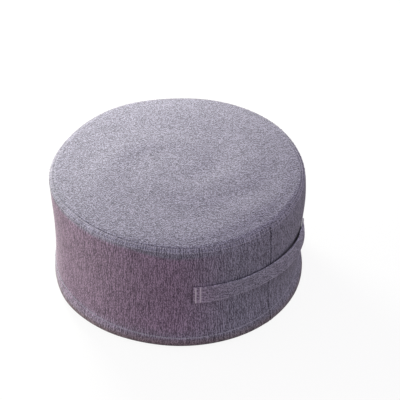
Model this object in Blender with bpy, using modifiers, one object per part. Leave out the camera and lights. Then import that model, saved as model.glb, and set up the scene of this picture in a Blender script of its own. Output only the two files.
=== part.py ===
"""Round floor pouf: one filled drum with a drawn-in side, a crowned top panel set inside
its seam, a flat base panel, and a folded handle strap sewn to the side at both ends.

Metres, +Z up. The origin is the centre of the base, on the floor. Azimuths are in degrees
about +Z: 0 faces -Y, where the handle stands off the side most, and 90 faces +X.
"""
import math

import bmesh
import bpy

# Driving dimensions
RADIUS = 0.200            # at the rolled edges, the drum's fullest
RIM_HEIGHT = 0.197        # top of the rolled upper edge
CROWN = 0.006             # rise of the top panel's middle over the rolled edge
TOP_ROLL = 0.012          # radius of the rolled upper edge
BASE_ROLL = 0.011         # radius of the rolled lower edge
WAIST = 0.0045            # how far the side is drawn in, most of all below mid height
WAIST_LOW = 0.69          # under 1 puts the waist below mid height
CLOTH = 0.002             # thickness of the top and base panels
GAP = 0.0003              # between neighbouring pieces
BASE_LIFT = 0.0006        # the rolled lower edge clears the floor by this

# Seams and sewn channels
TOP_SEAM_ANGLE = 63.0     # place of the top seam on the rolled edge, 0 outwards, 90 up
TOPSTITCH_ROWS = (0.0022, 0.0080)   # the two rows, measured down from the top seam
HEM_ROW = 0.0285          # mean height of the stitched row above the floor
BASE_SEAM_RADIUS = 0.186  # where the base panel meets the rolled lower edge
CHANNEL_DEPTH = 0.0007
CHANNEL_HALF = 0.0011     # half the width of a sewn channel
SEAM_NOTCH = 0.0009       # depth of the V that a seam leaves between two pieces
ALLOWANCE_STEP = 0.0004   # the seam allowance makes its band stand this far proud
CLOSING_SEAM = -18.0      # azimuth where the side panel's two ends are sewn together
CLOSING_DEPTH = 0.0009
CLOSING_HALF = 0.6        # degrees between the closing seam and its two flanks

# Handle strap
STRAP_HEIGHT = 0.105      # of its middle line
STRAP_WIDTH = 0.034
STRAP_THICK = 0.0025
STRAP_SEAT = 0.0004       # clearance to the side at the sewn ends
STRAP_COLUMNS = 48
LOOP_RISE = 0.35          # the strap rides up this share of how far it stands off
STRAP_PATH = (            # azimuth, and how far the upper and lower edges stand off the seat
    (-56.1, 0.0, 0.0),    # sewn end
    (-53.0, 0.0, 0.0),
    (-47.0, 0.0015, 0.0009),
    (-26.0, 0.0019, 0.0014),
    (-2.5, 0.0057, 0.0088),   # the loop for the fingers
    (2.5, 0.0057, 0.0088),
    (13.5, 0.0004, 0.0026),
    (18.5, 0.0003, 0.0012),   # sewn end
)

# Unevenness of the filled cloth
SEAM_WANDER = ((0.0022, 2), (0.0014, 3))   # amplitude along the roll, waves round the rim
SEAM_WANDER_ORIGIN = -67.0
HEM_WANDER = 0.0070
HEM_LOW_AZIMUTH = -58.0
SIDE_LUMPS = (            # amplitude, waves round, phase in degrees, waves up the side
    (0.0008, 2, 214.0, 0.0),
    (0.0007, 1, 66.0, 1.5),
    (0.0005, 3, 98.0, 0.5),
    (0.0004, 5, -5.0, 1.0),
    (0.0003, 9, 34.0, 1.5),
)
SIDE_BULGES = (           # azimuth, degrees across, height, metres across, how far out
    (-18.0, 16.0, 0.012, 0.028, 0.0024),
    (-143.0, 18.0, 0.018, 0.022, 0.0028),
    (-110.0, 14.0, 0.008, 0.028, -0.0018),
    (20.0, 14.0, 0.040, 0.026, -0.0016),
    (142.0, 20.0, 0.192, 0.030, 0.0030),
    (92.0, 24.0, 0.192, 0.030, 0.0030),
    (-178.0, 18.0, 0.192, 0.030, -0.0026),
)
TOP_LUMPS = (             # amplitude, waves per metre along X and along Y, phase in degrees
    (0.0006, 2.1, 1.3, 20.0),
    (0.0005, -1.6, 3.4, 75.0),
    (0.0003, 5.2, 4.1, 130.0),
)

COLUMNS = 90              # steps round the drum
CROWN_RINGS = (0.0, 0.030, 0.060, 0.090, 0.120, 0.150, 0.175)
HIDDEN_RINGS = (0.0, 0.090, 0.150, 0.175)
CLOTH_COLOUR = (0.245, 0.222, 0.262, 1.0)
STRAP_COLOUR = (0.235, 0.212, 0.252, 1.0)


def clear_scene():
    for obj in list(bpy.data.objects):
        bpy.data.objects.remove(obj, do_unlink=True)


def cloth_material(name, colour):
    material = bpy.data.materials.new(name)
    material.use_nodes = True
    shader = material.node_tree.nodes["Principled BSDF"]
    shader.inputs["Base Color"].default_value = colour
    shader.inputs["Roughness"].default_value = 0.92
    shader.inputs["Metallic"].default_value = 0.0
    return material


def smoothstep(low, high, value):
    t = min(max((value - low) / (high - low), 0.0), 1.0)
    return t * t * (3.0 - 2.0 * t)


# The drum's section, as radius and height

def crown_height(radius):
    """Height of the top panel's upper face; it meets the rolled edge without a crease."""
    reach = RADIUS - TOP_ROLL
    return RIM_HEIGHT + CROWN * (1.0 - min(radius / reach, 1.0) ** 3)


def on_top_roll(angle, inset=0.0):
    reach = TOP_ROLL - inset
    turn = math.radians(angle)
    return (RADIUS - TOP_ROLL + reach * math.cos(turn),
            RIM_HEIGHT - TOP_ROLL + reach * math.sin(turn))


def on_base_roll(angle, inset=0.0):
    reach = BASE_ROLL - inset
    turn = math.radians(angle)
    return (RADIUS - BASE_ROLL + reach * math.cos(turn),
            BASE_LIFT + BASE_ROLL - reach * math.sin(turn))


def drawn_in(height):
    """How far the side is drawn in at a height: nothing at the rolls, WAIST at the waist."""
    low = BASE_LIFT + BASE_ROLL
    high = RIM_HEIGHT - TOP_ROLL
    share = min(max((height - low) / (high - low), 0.0), 1.0)
    return WAIST * math.sin(math.pi * share ** WAIST_LOW) ** 2


def roll_degrees(distance, roll=TOP_ROLL):
    return math.degrees(distance / roll)


def side_heights():
    """Rings up the plain side, with one at each edge and the middle of the strap."""
    edge = STRAP_WIDTH / 2.0
    strap = (STRAP_HEIGHT + edge, STRAP_HEIGHT, STRAP_HEIGHT - edge)
    above = (0.172, 0.156, 0.139)
    below = (0.070, 0.050)
    return above + strap + below


def filled_body_section():
    """From the axis under the top panel, out, down the side and back under the base."""
    half_gap = roll_degrees(GAP / 2.0)
    under = CLOTH + GAP
    section = [(r, crown_height(r) - under) for r in HIDDEN_RINGS]
    section += [on_top_roll(a, under) for a in (90.0, 76.0)]
    lip = TOP_SEAM_ANGLE - half_gap
    section += [on_top_roll(lip, under), on_top_roll(lip, SEAM_NOTCH)]
    half = roll_degrees(CHANNEL_HALF)
    for row, step_after in zip(TOPSTITCH_ROWS, (0.0, ALLOWANCE_STEP)):
        middle = TOP_SEAM_ANGLE - roll_degrees(row)
        section.append(on_top_roll(middle + half))
        section.append(on_top_roll(middle, CHANNEL_DEPTH))
        section.append(on_top_roll(middle - half, step_after))
    section.append(on_top_roll(8.0, ALLOWANCE_STEP))
    section += [(RADIUS - drawn_in(z), z) for z in side_heights()]
    for offset, depth in ((CHANNEL_HALF, ALLOWANCE_STEP), (0.0, CHANNEL_DEPTH), (-CHANNEL_HALF, 0.0)):
        height = HEM_ROW + offset
        section.append((RADIUS - drawn_in(height) - depth, height))
    section += [on_base_roll(a) for a in (0.0, 28.0, 56.0)]
    section += [(BASE_SEAM_RADIUS + GAP / 2.0, BASE_LIFT), (BASE_SEAM_RADIUS + GAP / 2.0, under)]
    section.append((0.0, under))
    return section


def top_panel_section():
    half_gap = roll_degrees(GAP / 2.0)
    rim = TOP_SEAM_ANGLE + half_gap
    section = [(r, crown_height(r)) for r in CROWN_RINGS]
    section += [on_top_roll(a) for a in (90.0, 79.0, TOP_SEAM_ANGLE + roll_degrees(CHANNEL_HALF))]
    section += [on_top_roll(rim, SEAM_NOTCH), on_top_roll(rim, CLOTH)]
    section += [on_top_roll(a, CLOTH) for a in (76.0, 90.0)]
    section += [(r, crown_height(r) - CLOTH) for r in reversed(HIDDEN_RINGS)]
    return section


def base_panel_section():
    rim = BASE_SEAM_RADIUS - GAP / 2.0
    edge = CLOTH / 4.0
    return [(0.0, CLOTH), (rim - edge, CLOTH), (rim, CLOTH - edge),
            (rim, edge), (rim - edge, 0.0), (0.0, 0.0)]


# How the sewn, filled cloth departs from a true turned shape

def gathered(azimuth):
    """Pull the columns next to the closing seam up to its two flanks."""
    step = 360.0 / COLUMNS
    away = (azimuth - CLOSING_SEAM + 180.0) % 360.0 - 180.0
    span = 5.0 * step
    size = abs(away)
    pulled = step - CLOSING_HALF
    if size <= step:
        size *= CLOSING_HALF / step
    elif size < step + span:
        size -= pulled * (1.0 - (size - step) / span)
    return CLOSING_SEAM + math.copysign(size, away)


def seam_wander(azimuth):
    """Degrees that the top seam is pulled up the rolled edge."""
    turn = math.radians(azimuth - SEAM_WANDER_ORIGIN)
    along = -sum(size * math.sin(waves * turn) for size, waves in SEAM_WANDER)
    return roll_degrees(along)


def turned_on_roll(azimuth, radius, height):
    """Turn the cloth near the rolled edge about the roll's centre, seam and rows alike."""
    angle = roll_angle(radius, height)
    share = smoothstep(-2.0, 20.0, angle) * (1.0 - smoothstep(84.0, 112.0, angle))
    if share == 0.0:
        return radius, height
    turn = math.radians(angle + share * seam_wander(azimuth))
    reach = math.hypot(radius - (RADIUS - TOP_ROLL), height - (RIM_HEIGHT - TOP_ROLL))
    return (RADIUS - TOP_ROLL + reach * math.cos(turn),
            RIM_HEIGHT - TOP_ROLL + reach * math.sin(turn))


def hem_shift(azimuth, height):
    share = smoothstep(BASE_ROLL / 2.0, HEM_ROW - 0.003, height)
    share *= 1.0 - smoothstep(HEM_ROW + 0.004, STRAP_HEIGHT - STRAP_WIDTH, height)
    swing = math.cos(2.0 * math.radians(azimuth - HEM_LOW_AZIMUTH))
    return -HEM_WANDER * share * swing


def side_lump(azimuth, height):
    share = height / RIM_HEIGHT
    lump = sum(size * math.sin(math.radians(waves * azimuth + phase)) * math.cos(2.0 * math.pi * up * share)
               for size, waves, phase, up in SIDE_LUMPS)
    for middle, across, level, tall, out in SIDE_BULGES:
        away = (azimuth - middle + 180.0) % 360.0 - 180.0
        lump += out * math.exp(-(away / across) ** 2 - ((height - level) / tall) ** 2)
    return lump


def top_lump(x, y):
    fade = 1.0 - min(math.hypot(x, y) / (RADIUS - TOP_ROLL), 1.0) ** 4
    return fade * sum(size * math.sin(2.0 * math.pi * (along_x * x + along_y * y) + math.radians(phase))
                      for size, along_x, along_y, phase in TOP_LUMPS)


def roll_angle(radius, height):
    """Direction from the centre of the rolled upper edge, 0 outwards and 90 up."""
    return math.degrees(math.atan2(height - (RIM_HEIGHT - TOP_ROLL), radius - (RADIUS - TOP_ROLL)))


def closing_groove(azimuth, radius, height):
    """Depth of the closing seam's groove, which runs out before the top seam and the base panel."""
    if abs(azimuth - CLOSING_SEAM) > CLOSING_HALF / 2.0 or radius < RADIUS - TOP_ROLL:
        return 0.0
    below_seam = 1.0 - smoothstep(TOP_SEAM_ANGLE - 20.0, TOP_SEAM_ANGLE - 8.0, roll_angle(radius, height))
    return CLOSING_DEPTH * below_seam * smoothstep(CLOTH, BASE_ROLL, height)


def wall_radius(azimuth, height):
    return RADIUS - drawn_in(height) + side_lump(azimuth, height)


def at(azimuth, radius, height):
    turn = math.radians(azimuth)
    return (radius * math.sin(turn), -radius * math.cos(turn), height)


def as_sewn(co, grooved):
    """Where a point of the true turned shape lies on the sewn and filled one."""
    radius = math.hypot(co.x, co.y)
    if radius < 1e-6:
        return (0.0, 0.0, co.z + (top_lump(0.0, 0.0) if co.z > RIM_HEIGHT / 2.0 else 0.0))
    azimuth = gathered(math.degrees(math.atan2(co.x, -co.y)))
    edge_share = smoothstep(0.5, 1.0, radius / RADIUS)
    shifted_radius, height = turned_on_roll(azimuth, radius, co.z)
    height += hem_shift(azimuth, co.z) * smoothstep(0.95, 0.99, radius / RADIUS)
    lump = side_lump(azimuth, min(height, RIM_HEIGHT)) * edge_share
    if co.z <= CLOTH + GAP + 1e-6 and radius < BASE_SEAM_RADIUS + CLOTH:
        lump = 0.0
    if grooved:
        lump -= closing_groove(azimuth, radius, co.z)
    x, y, z = at(azimuth, shifted_radius + lump, height)
    if co.z > RIM_HEIGHT - TOP_ROLL:
        z += top_lump(x, y)
    return (x, y, z)


# Pieces

def turned_piece(collection, name, section, colour, grooved=False):
    """Turn a section with a Screw modifier, then move its points to the sewn shape."""
    mesh = bpy.data.meshes.new(name + "_section")
    edges = [(i, i + 1) for i in range(len(section) - 1)]
    mesh.from_pydata([(r, 0.0, z) for r, z in section], edges, [])
    guide = bpy.data.objects.new(name + "_section", mesh)
    bpy.context.scene.collection.objects.link(guide)
    screw = guide.modifiers.new("turn", "SCREW")
    screw.axis = "Z"
    screw.steps = COLUMNS
    screw.render_steps = COLUMNS
    screw.use_merge_vertices = True
    screw.merge_threshold = 0.00005
    screw.use_smooth_shade = True
    turned = bpy.data.meshes.new_from_object(guide.evaluated_get(bpy.context.evaluated_depsgraph_get()))
    bpy.data.objects.remove(guide, do_unlink=True)
    for vertex in turned.vertices:
        vertex.co = as_sewn(vertex.co, grooved)
    return finished_piece(collection, name, turned, colour)


def stand_off(azimuth, rise):
    """How far the strap stands off its seat; rise goes from 0 at the lower edge to 1 at the upper."""
    for (start, *before), (end, *after) in zip(STRAP_PATH, STRAP_PATH[1:]):
        if azimuth <= end:
            share = smoothstep(start, end, azimuth)
            upper, lower = (low + (high - low) * share for low, high in zip(before, after))
            return lower + (upper - lower) * rise
    return 0.0


def strap_piece(collection):
    """A flat strip bent round the side, thickened outwards and eased at its edges."""
    start = STRAP_PATH[0][0]
    end = STRAP_PATH[-1][0]
    bm = bmesh.new()
    bmesh.ops.create_grid(bm, x_segments=STRAP_COLUMNS, y_segments=2, size=0.5)
    for vertex in bm.verts:
        azimuth = start + (vertex.co.x + 0.5) * (end - start)
        height = STRAP_HEIGHT + vertex.co.y * STRAP_WIDTH + LOOP_RISE * stand_off(azimuth, 1.0)
        radius = wall_radius(azimuth, height) + STRAP_SEAT + stand_off(azimuth, vertex.co.y + 0.5)
        vertex.co = at(azimuth, radius, height)
    mesh = bpy.data.meshes.new("handle_strap")
    bm.to_mesh(mesh)
    bm.free()
    strap = finished_piece(collection, "handle_strap", mesh, STRAP_COLOUR)
    thick = strap.modifiers.new("thickness", "SOLIDIFY")
    thick.thickness = STRAP_THICK
    thick.offset = 1.0
    eased = strap.modifiers.new("eased_edges", "BEVEL")
    eased.width = STRAP_THICK / 3.0
    eased.segments = 1
    eased.limit_method = "ANGLE"
    eased.angle_limit = math.radians(50.0)
    return strap


def finished_piece(collection, name, mesh, colour):
    mesh.name = name
    mesh.materials.clear()
    mesh.materials.append(cloth_material(name + "_cloth", colour))
    mesh.shade_smooth()
    mesh.set_sharp_from_angle(angle=math.radians(40.0))
    piece = bpy.data.objects.new(name, mesh)
    collection.objects.link(piece)
    return piece


def build():
    clear_scene()
    pouf = bpy.data.collections.new("round_pouf")
    bpy.context.scene.collection.children.link(pouf)
    turned_piece(pouf, "filled_body", filled_body_section(), CLOTH_COLOUR, grooved=True)
    turned_piece(pouf, "top_panel", top_panel_section(), CLOTH_COLOUR)
    turned_piece(pouf, "bottom_panel", base_panel_section(), CLOTH_COLOUR)
    strap_piece(pouf)


build()
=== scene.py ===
"""Looks of the round floor pouf: melange cloth cover, sewn seams and rows of stitches, and the
handle strap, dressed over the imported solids.

Metres, +Z up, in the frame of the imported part. Azimuths are in degrees about +Z: 0 faces -Y,
where the strap stands off the side most, and 90 faces +X.
"""
import math

import bmesh
import bpy
import numpy as np
from mathutils import Matrix, Vector

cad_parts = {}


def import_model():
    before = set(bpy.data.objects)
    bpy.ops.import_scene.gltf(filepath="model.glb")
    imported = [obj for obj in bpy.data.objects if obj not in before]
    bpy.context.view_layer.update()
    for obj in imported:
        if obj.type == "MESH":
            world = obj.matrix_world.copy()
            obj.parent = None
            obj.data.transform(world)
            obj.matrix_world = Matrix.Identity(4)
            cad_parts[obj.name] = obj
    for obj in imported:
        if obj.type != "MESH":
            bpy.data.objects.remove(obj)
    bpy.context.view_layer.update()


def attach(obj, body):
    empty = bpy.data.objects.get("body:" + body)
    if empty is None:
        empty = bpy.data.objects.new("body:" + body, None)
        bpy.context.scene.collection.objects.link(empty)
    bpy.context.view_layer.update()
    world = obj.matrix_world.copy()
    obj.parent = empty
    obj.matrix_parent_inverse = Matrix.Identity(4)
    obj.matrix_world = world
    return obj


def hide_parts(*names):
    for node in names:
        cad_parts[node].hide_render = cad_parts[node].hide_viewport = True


# The drum's section, as the solids have it
RADIUS = 0.200
RIM_HEIGHT = 0.197
CROWN = 0.006
TOP_ROLL = 0.012
BASE_ROLL = 0.011
BASE_LIFT = 0.0006
BASE_SEAM_RADIUS = 0.186
WAIST = 0.0045
WAIST_LOW = 0.69
TOP_SEAM_ANGLE = 63.0
CLOTH = 0.002
GAP = 0.0003

# Unevenness of the filled cloth, much as the solids have it
SEAM_WANDER = ((0.0022, 2), (0.0014, 3))  # amplitude along the roll, waves round the rim
SEAM_WANDER_ORIGIN = -67.0
SEAM_SLIP = (-57.0, -5.0, 20.0, 70.0)  # azimuths where it slips down: from, full, until, gone
SEAM_SLIP_DEPTH = 0.0030
RIM_STRAYS = (-60.0, 20.0, 84.0, 112.0)  # angles up the top roll where sewing strays with the seam
HEM_WANDER = 0.0070
HEM_LOW_AZIMUTH = -58.0
HEM_STRAYS = (0.0030, 0.0040)  # straying is full from so far below the row to so far above it
LUMPS_FROM = 0.5  # share of the radius where the side's lumps begin
SIDE_LUMPS = (  # amplitude, waves round, phase in degrees, waves up the side
    (0.0008, 2, 214.0, 0.0),
    (0.0007, 1, 66.0, 1.5),
    (0.0005, 3, 98.0, 0.5),
    (0.0004, 5, -5.0, 1.0),
    (0.0003, 9, 34.0, 1.5),
)
SIDE_BULGES = (  # azimuth, degrees across, height, metres across, how far out
    (-18.0, 16.0, 0.012, 0.028, 0.0010),
    (-143.0, 18.0, 0.018, 0.022, -0.0004),
    (-110.0, 14.0, 0.008, 0.028, -0.0018),
    (16.0, 24.0, 0.036, 0.032, -0.0050),
    (27.0, 16.0, 0.150, 0.032, 0.0018),
    (-22.0, 22.0, 0.125, 0.030, 0.0014),
    (-78.0, 18.0, 0.010, 0.028, -0.0022),
    (142.0, 20.0, 0.192, 0.030, 0.0030),
    (92.0, 24.0, 0.192, 0.030, 0.0030),
    (-178.0, 18.0, 0.192, 0.030, -0.0026),
)
TOP_LUMPS = (  # amplitude, waves per metre along X and along Y, phase in degrees
    (0.0006, 2.1, 1.3, 20.0),
    (0.0005, -1.6, 3.4, 75.0),
    (0.0003, 5.2, 4.1, 130.0),
)

# Sewing
TOPSTITCH_ROWS = (0.0022, 0.0080)  # below the top seam, along the cloth
HEM_ROW = 0.0285  # mean height of the stitched row above the floor
CLOSING_SEAM = -17.7
CHANNEL_HALF = 0.0010  # where a channel has come back to half its depth
CHANNEL_DEPTH = 0.0006
STITCH_PULL = 0.28  # share of a channel's depth that comes and goes by the stitch
SEAM_DEPTH = 0.0010
SEAM_HALF = 0.0007
SLACK_SEAM = 0.60  # share of the seam's depth left where the rim is slack
SLACK_STRIP = 0.5  # and of the strip's height and the rows' channels
SLACK_RIM = (-10.0, 30.0, 75.0)  # azimuth, degrees to either side: slack, tight again
RIM_ALLOWANCE = 0.0016  # the allowances make the strip between the rows stand proud
RIM_STRIP = (0.0, 0.0084, 0.0088, 0.0122)  # the strip rises to the lower row, then falls away
SHOULDER_DROP = 0.0030  # how far the slack rim sinks towards the seam
SHOULDER_REACH = 0.028  # on the top panel
SHOULDER_RETURN = 0.018  # down the side
SLACK_CORNER = 0.0014  # and how far its corner stands out
CORNER_REACH = 0.005
HEM_LIP = (0.0006, -0.0002, 0.0018)  # how far the hem steps out, and from and to where below its row
HEM_FLARE = (0.0006, 0.0010, 0.0120)
HEM_PROUD = (0.0022, -0.0045, 0.0070)
HEM_PROUD_FLANK = (-108.0, 10.2, 34.0)  # azimuth, degrees to either side: full, gone
HEM_RETURN = (0.0120, 0.0300)  # where below its row the hem turns in again
HEM_RIDGE = (0.0009, 0.0021, 0.0012)  # the turned-up edge: height, place below the row, half width
CLOSING_DEPTH = 0.0022
CLOSING_HALF = 0.0006
CLOSING_SWELL = (0.00035, 0.0042, 0.0028)  # height, place beside the seam, half width
CLOSING_START = (0.0005, 0.0040)  # it fades in between these places below the top seam
CLOSING_STOP = 0.0020  # and out over this length above the base's edge
SEAM_COLUMNS = (0.0004, 0.0008, 0.0012, 0.0022, 0.0028)  # extra columns beside a narrow seam

# Puckers: seed, waves round the drum, height, place along the cloth, reach
TOP_PUCKER = (7, (89, 127, 149, 193), 0.00016, -0.006, 0.006)
RIM_PUCKER = (3, (97, 131, 163, 211), 0.00022, 0.009, 0.008)
HEM_PUCKER = (5, (83, 119, 151, 187), 0.00020, 0.0, 0.010)
RIM_PUCKER_FADE = 0.006  # from the top seam down

# Thread: radius as it lies, length of a stitch, distance from one stitch to the next
RIM_THREAD = (0.00046, 0.0027, 0.0040)
HEM_THREAD = (0.00085, 0.0034, 0.0044)
STRAP_THREAD = (0.00034, 0.0024, 0.0036)
TACK_THREAD = (0.00060, 0.0024, 0.0013)
THREAD_DIP = 2.2  # how deep a stitch dips at its ends, in radii
ROW_LIFT = 0.9  # how high a row's thread lies over the cover, in radii
STRAP_ROW_LIFT = 0.4  # and over the strap, in radii of its thread
STRAP_ROW_MARGIN = 0.0020  # the long rows stop so far short of the rows across the ends
THREADS = (("fine_thread", (0.41, 0.39, 0.45)), ("stout_thread", (0.60, 0.54, 0.60)),
           ("hem_thread", (0.36, 0.35, 0.41)))
THREAD_SHADES = (0.75, 1.2)
THREAD_FLECKS = 300.0  # flecks of shade to the metre
THREAD_FINISH = {"Roughness": 0.75, "Sheen Weight": 0.2}

# Weave
YARN_PITCH = 0.0008
YARN_SHADES = ((0.065, 0.060, 0.081), (0.190, 0.183, 0.231), (0.379, 0.367, 0.460))  # dark to pale
NEIGHBOUR_CONTRAST = 0.35
SLUB_STAGGER = 9.0  # yarns start their slubs up to so many slubs apart
WEFT_SEED = 3000.0  # sets the weft's random slubs apart from the warp's
WEAVE_SHADE = 0.08  # how much the weave shows as tone
WEAVE_BUMP = (("Strength", 0.5), ("Distance", 0.0003))
BLOTCHES = (80.0, 60.0)  # soft patches to the metre, across and along
BLOTCH_ORIGIN = (3.1, 1.891)
CLOTH_FINISH = {"Roughness": 0.92, "Specular IOR Level": 0.2, "Sheen Weight": 0.15, "Sheen Roughness": 0.5}
# Yarns: pitch, length of a short slub, of a long one, share of the long ones, strength
SIDE_WARP = (0.0012, 0.0028, 0.0125, 0.42, 1.30)
SIDE_WEFT = (0.0014, 0.0020, 0.0044, 0.30, 0.50)
TOP_WARP = (0.0013, 0.0012, 0.0030, 0.15, 0.62)
TOP_WEFT = (0.0013, 0.0018, 0.0040, 0.15, 0.98)
BASE_WARP = (0.0013, 0.0028, 0.0060, 0.30, 0.60)
BASE_WEFT = (0.0014, 0.0028, 0.0060, 0.30, 0.60)
STRAP_WARP = (0.0014, 0.0022, 0.0057, 0.30, 0.80)
STRAP_WEFT = (0.0014, 0.0034, 0.0088, 0.30, 0.98)
STRAP_LEVEL = 1.30  # the strap's cloth is paler

# Painted light and shade on the side: azimuths or heights are where one fades in, is full, still full, gone
# Painted light: the plum tint stands for the tinted light that the same cloth shows on one flank; the top's
# cloth has none
PAINTED_PLUM_LIGHT = (1.15, 0.86, 0.965, 1.0)
PLUM_AZIMUTHS = (-215.0, -135.0, -68.0, -34.0)
PLUM_HEIGHTS = (0.184, 0.192)  # full below, gone above
PLUM_SINKS = (-86.0, -62.0, 0.010)  # between these azimuths its top sinks so far
PLUM_HEM = (0.020, 0.042, 0.45)  # paler in the hem: full above, least below
# Painted light: the hem and the rim strip are made paler on the flank that the window and the fill light
# most
HEM_PAINTED_LIGHT = ((-150.0, -122.0, -98.0, -80.0), (0.012, 0.020, 0.030, 0.036), 1.24)  # and how much paler: painted light on the hem, on the flank the lamps light
RIM_PAINTED_LIGHT = ((-128.0, -118.0, -98.0, -84.0), (0.183, 0.188, 0.198, 0.200), 1.15)
# Painted light and shade: the foot is warmed and darkened as the floor's bounce and shade would do
FLOOR_BOUNCE_TINT = (0.91, 0.81, 0.71, 1.0)
FLOOR_BOUNCE_HEIGHTS = (0.011, 0.024)  # painted warm bounce light and shade from the floor: full below, gone above
CLOSING_PAINTED_SHADE = 0.58  # painted shade in the closing seam's groove, where little light gets in
CLOSING_REACH = 2.4  # and how far the painted shade reaches, in half widths of the groove

# Strap
STRAP_HEIGHT = 0.105
STRAP_WIDTH = 0.034
STRAP_THICK = 0.0025
STRAP_SEAT = 0.0002
LOOP_RISE = 0.35
STRAP_PATH = (  # azimuth, and how far the upper and lower edges stand off the seat
    (-56.1, 0.0, 0.0),
    (-53.5, 0.0004, 0.0001),
    (-48.0, 0.0021, 0.0006),
    (-26.0, 0.0029, 0.0014),
    (-5.0, 0.0050, 0.0066),
    (1.5, 0.0046, 0.0078),
    (11.0, 0.0008, 0.0060),
    (14.5, 0.0002, 0.0034),
    (17.5, 0.0, 0.0012),
    (19.0, 0.0, 0.0004),
)
STRAP_BOW = (2.0, 13.5, 14.5, 18.2)  # its middle bows out: azimuths from, full, until, gone
STRAP_BOW_DEPTH = 0.0030
STRAP_CORNER = 0.0030  # radius of the strap's corners as they are folded in
STRAP_EDGE_ROW = 0.0028  # the rows along the strap's two long edges, in from the edge
STRAP_END_ROWS = (0.0040, 0.0112)  # the rows across each end
STRAP_PRESSED = 0.35  # share of its thickness lost at the stitched ends
STRAP_PRESS_FADE = 1.8  # lost as far as the inner end row, and regained at so many times that
STRAP_STEP = 0.0011
STRAP_POINTS = (29, 15, 5)  # round its section: on its face, its back, each long edge
STRAP_CORNER_POINTS = 12
STRAP_THINNEST = 0.02  # share of its half thickness that a rounded end keeps at its tip
STRAP_DENTS = (0.0032, 0.0006)  # how deep the cloth is pulled in beyond each sewn end
STRAP_DENT_AT = (0.0012, 0.0009)  # place beyond the end, half width
STRAP_DENT_EDGES = (0.0040, 0.0020)  # a dent fades so far outside and inside the long edges
EDGE_CHANNEL = (0.00035, 0.0009, 0.0020)  # depth, half width, length over which it fades in
END_CHANNEL = (0.00030, 0.0012, 0.0015)

# View
CAMERA_AZIMUTH = -62.0
CAMERA_ELEVATION = 37.959
CAMERA_DISTANCE = 3.0247
CAMERA_PIVOT = (0.0, 0.0, 0.09)
CAMERA_AIM = (0.0691, -0.0035, 0.09)
CAMERA_ROLL = -0.406
CAMERA_FIELD = 12.0

# Lights: azimuth, elevation, distance, width, power, colour
WINDOW = (CAMERA_AZIMUTH - 151.0, 23.0, 1.19, 0.45, 30.0, (0.98, 1.0, 0.88))
FILL = (CAMERA_AZIMUTH - 85.0, 16.0, 0.75, 0.55, 3.05, (0.97, 1.0, 0.84))
WHITE = (1.0, 1.0, 1.0, 1.0)
SKY_LOW = (0.98, 0.915, 1.03, 1.0)
SKY_HIGH = (0.635, 0.593, 0.67, 1.0)
SKY_BELOW = (0.34, 0.32, 0.30, 1.0)
HORIZON = (-0.05, 0.05)  # the sky begins between these heights of a direction
FLOOR_REACH = 12.0
FLOOR_GLOW = 0.91
FLOOR_SEEN = (0.07, 0.07, 0.07, 1.0)
FLOOR_RETURN = (0.15, 0.125, 0.10, 1.0)
FLOOR_FINISH = {"Roughness": 1.0, "Specular IOR Level": 0.0, "Emission Color": WHITE}

# Meshes
COLUMNS = 720
BASE_COLUMNS = 180
NEAREST_COLUMNS = 0.00012
SAME_PLACE = 1e-6  # points closer than this are welded
NO_LENGTH = 1e-7  # edges shorter than this are dissolved
THREAD_SIDES = 6
THREAD_POINTS = 7
THREAD_TAPER = 0.93
BACKING_RADII = (0.0, 0.090, 0.150)  # rings of hidden faces behind the panels
BACKING_V = ((-0.19, -0.10, -0.05, -0.006, -0.002), (0.002, 0.038, 0.188))  # and their texture places
GRAIN_AZIMUTH = -62.0  # the top panel's warp runs towards it

# Filling
SWELL_COLUMNS = 200
SWELL_STEP = 0.0060
SWELL_START = 0.0010  # the cover starts this much smaller than it ends up
SWELL_PRESSURE = 4.0
SWELL_FRAMES = 20
SWELL_CAP = 0.0012  # how far the filling may move the cloth from its ring's mean
SWELL_SMOOTHING = 3
SWELL_HOLE = 0.010  # radius left out at the crown's middle
SWELL_FADE = (-0.010, 0.060)  # the swelling fades in between these places from its innermost ring
FILLED = {}  # what fill_cover has found


def smoothstep(low, high, value):
    t = np.clip((value - low) / (high - low), 0.0, 1.0)
    return t * t * (3.0 - 2.0 * t)


def hollow(distance, half):
    """A soft trough: 1 at its middle, one half at half, 0 far away."""
    return np.exp(-math.log(2.0) * (distance / half) ** 2)


def plateau(value, start, full, still, gone):
    """0 before start, 1 from full to still, and 0 again beyond gone."""
    return smoothstep(start, full, value) * (1.0 - smoothstep(still, gone, value))


def turn_between(azimuth, middle):
    """Degrees from the middle to an azimuth, the short way round."""
    return (azimuth - middle + 180.0) % 360.0 - 180.0


# The cover's section, walked along the cloth from the top seam.
# A station is that distance: below 0 towards the crown's middle, above 0 down the side.

TO_RIM = TOP_ROLL * math.radians(TOP_SEAM_ANGLE)  # seam to the foot of the top roll
TO_CROWN = TOP_ROLL * math.radians(90.0 - TOP_SEAM_ANGLE)  # seam to the crown's edge
PLAIN_TOP = RIM_HEIGHT - TOP_ROLL  # the plain side lies between the two rolls
PLAIN_FOOT = BASE_LIFT + BASE_ROLL
TO_BASE_ROLL = TO_RIM + PLAIN_TOP - PLAIN_FOOT
TO_BASE = TO_BASE_ROLL + BASE_ROLL * math.pi / 2.0
TO_BASE_SEAM = TO_BASE + RADIUS - BASE_ROLL - BASE_SEAM_RADIUS
CROWN_REACH = RADIUS - TOP_ROLL
TOP_MIDDLE = -CROWN_REACH - TO_CROWN
HEM_STATION = TO_RIM + PLAIN_TOP - HEM_ROW

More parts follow.
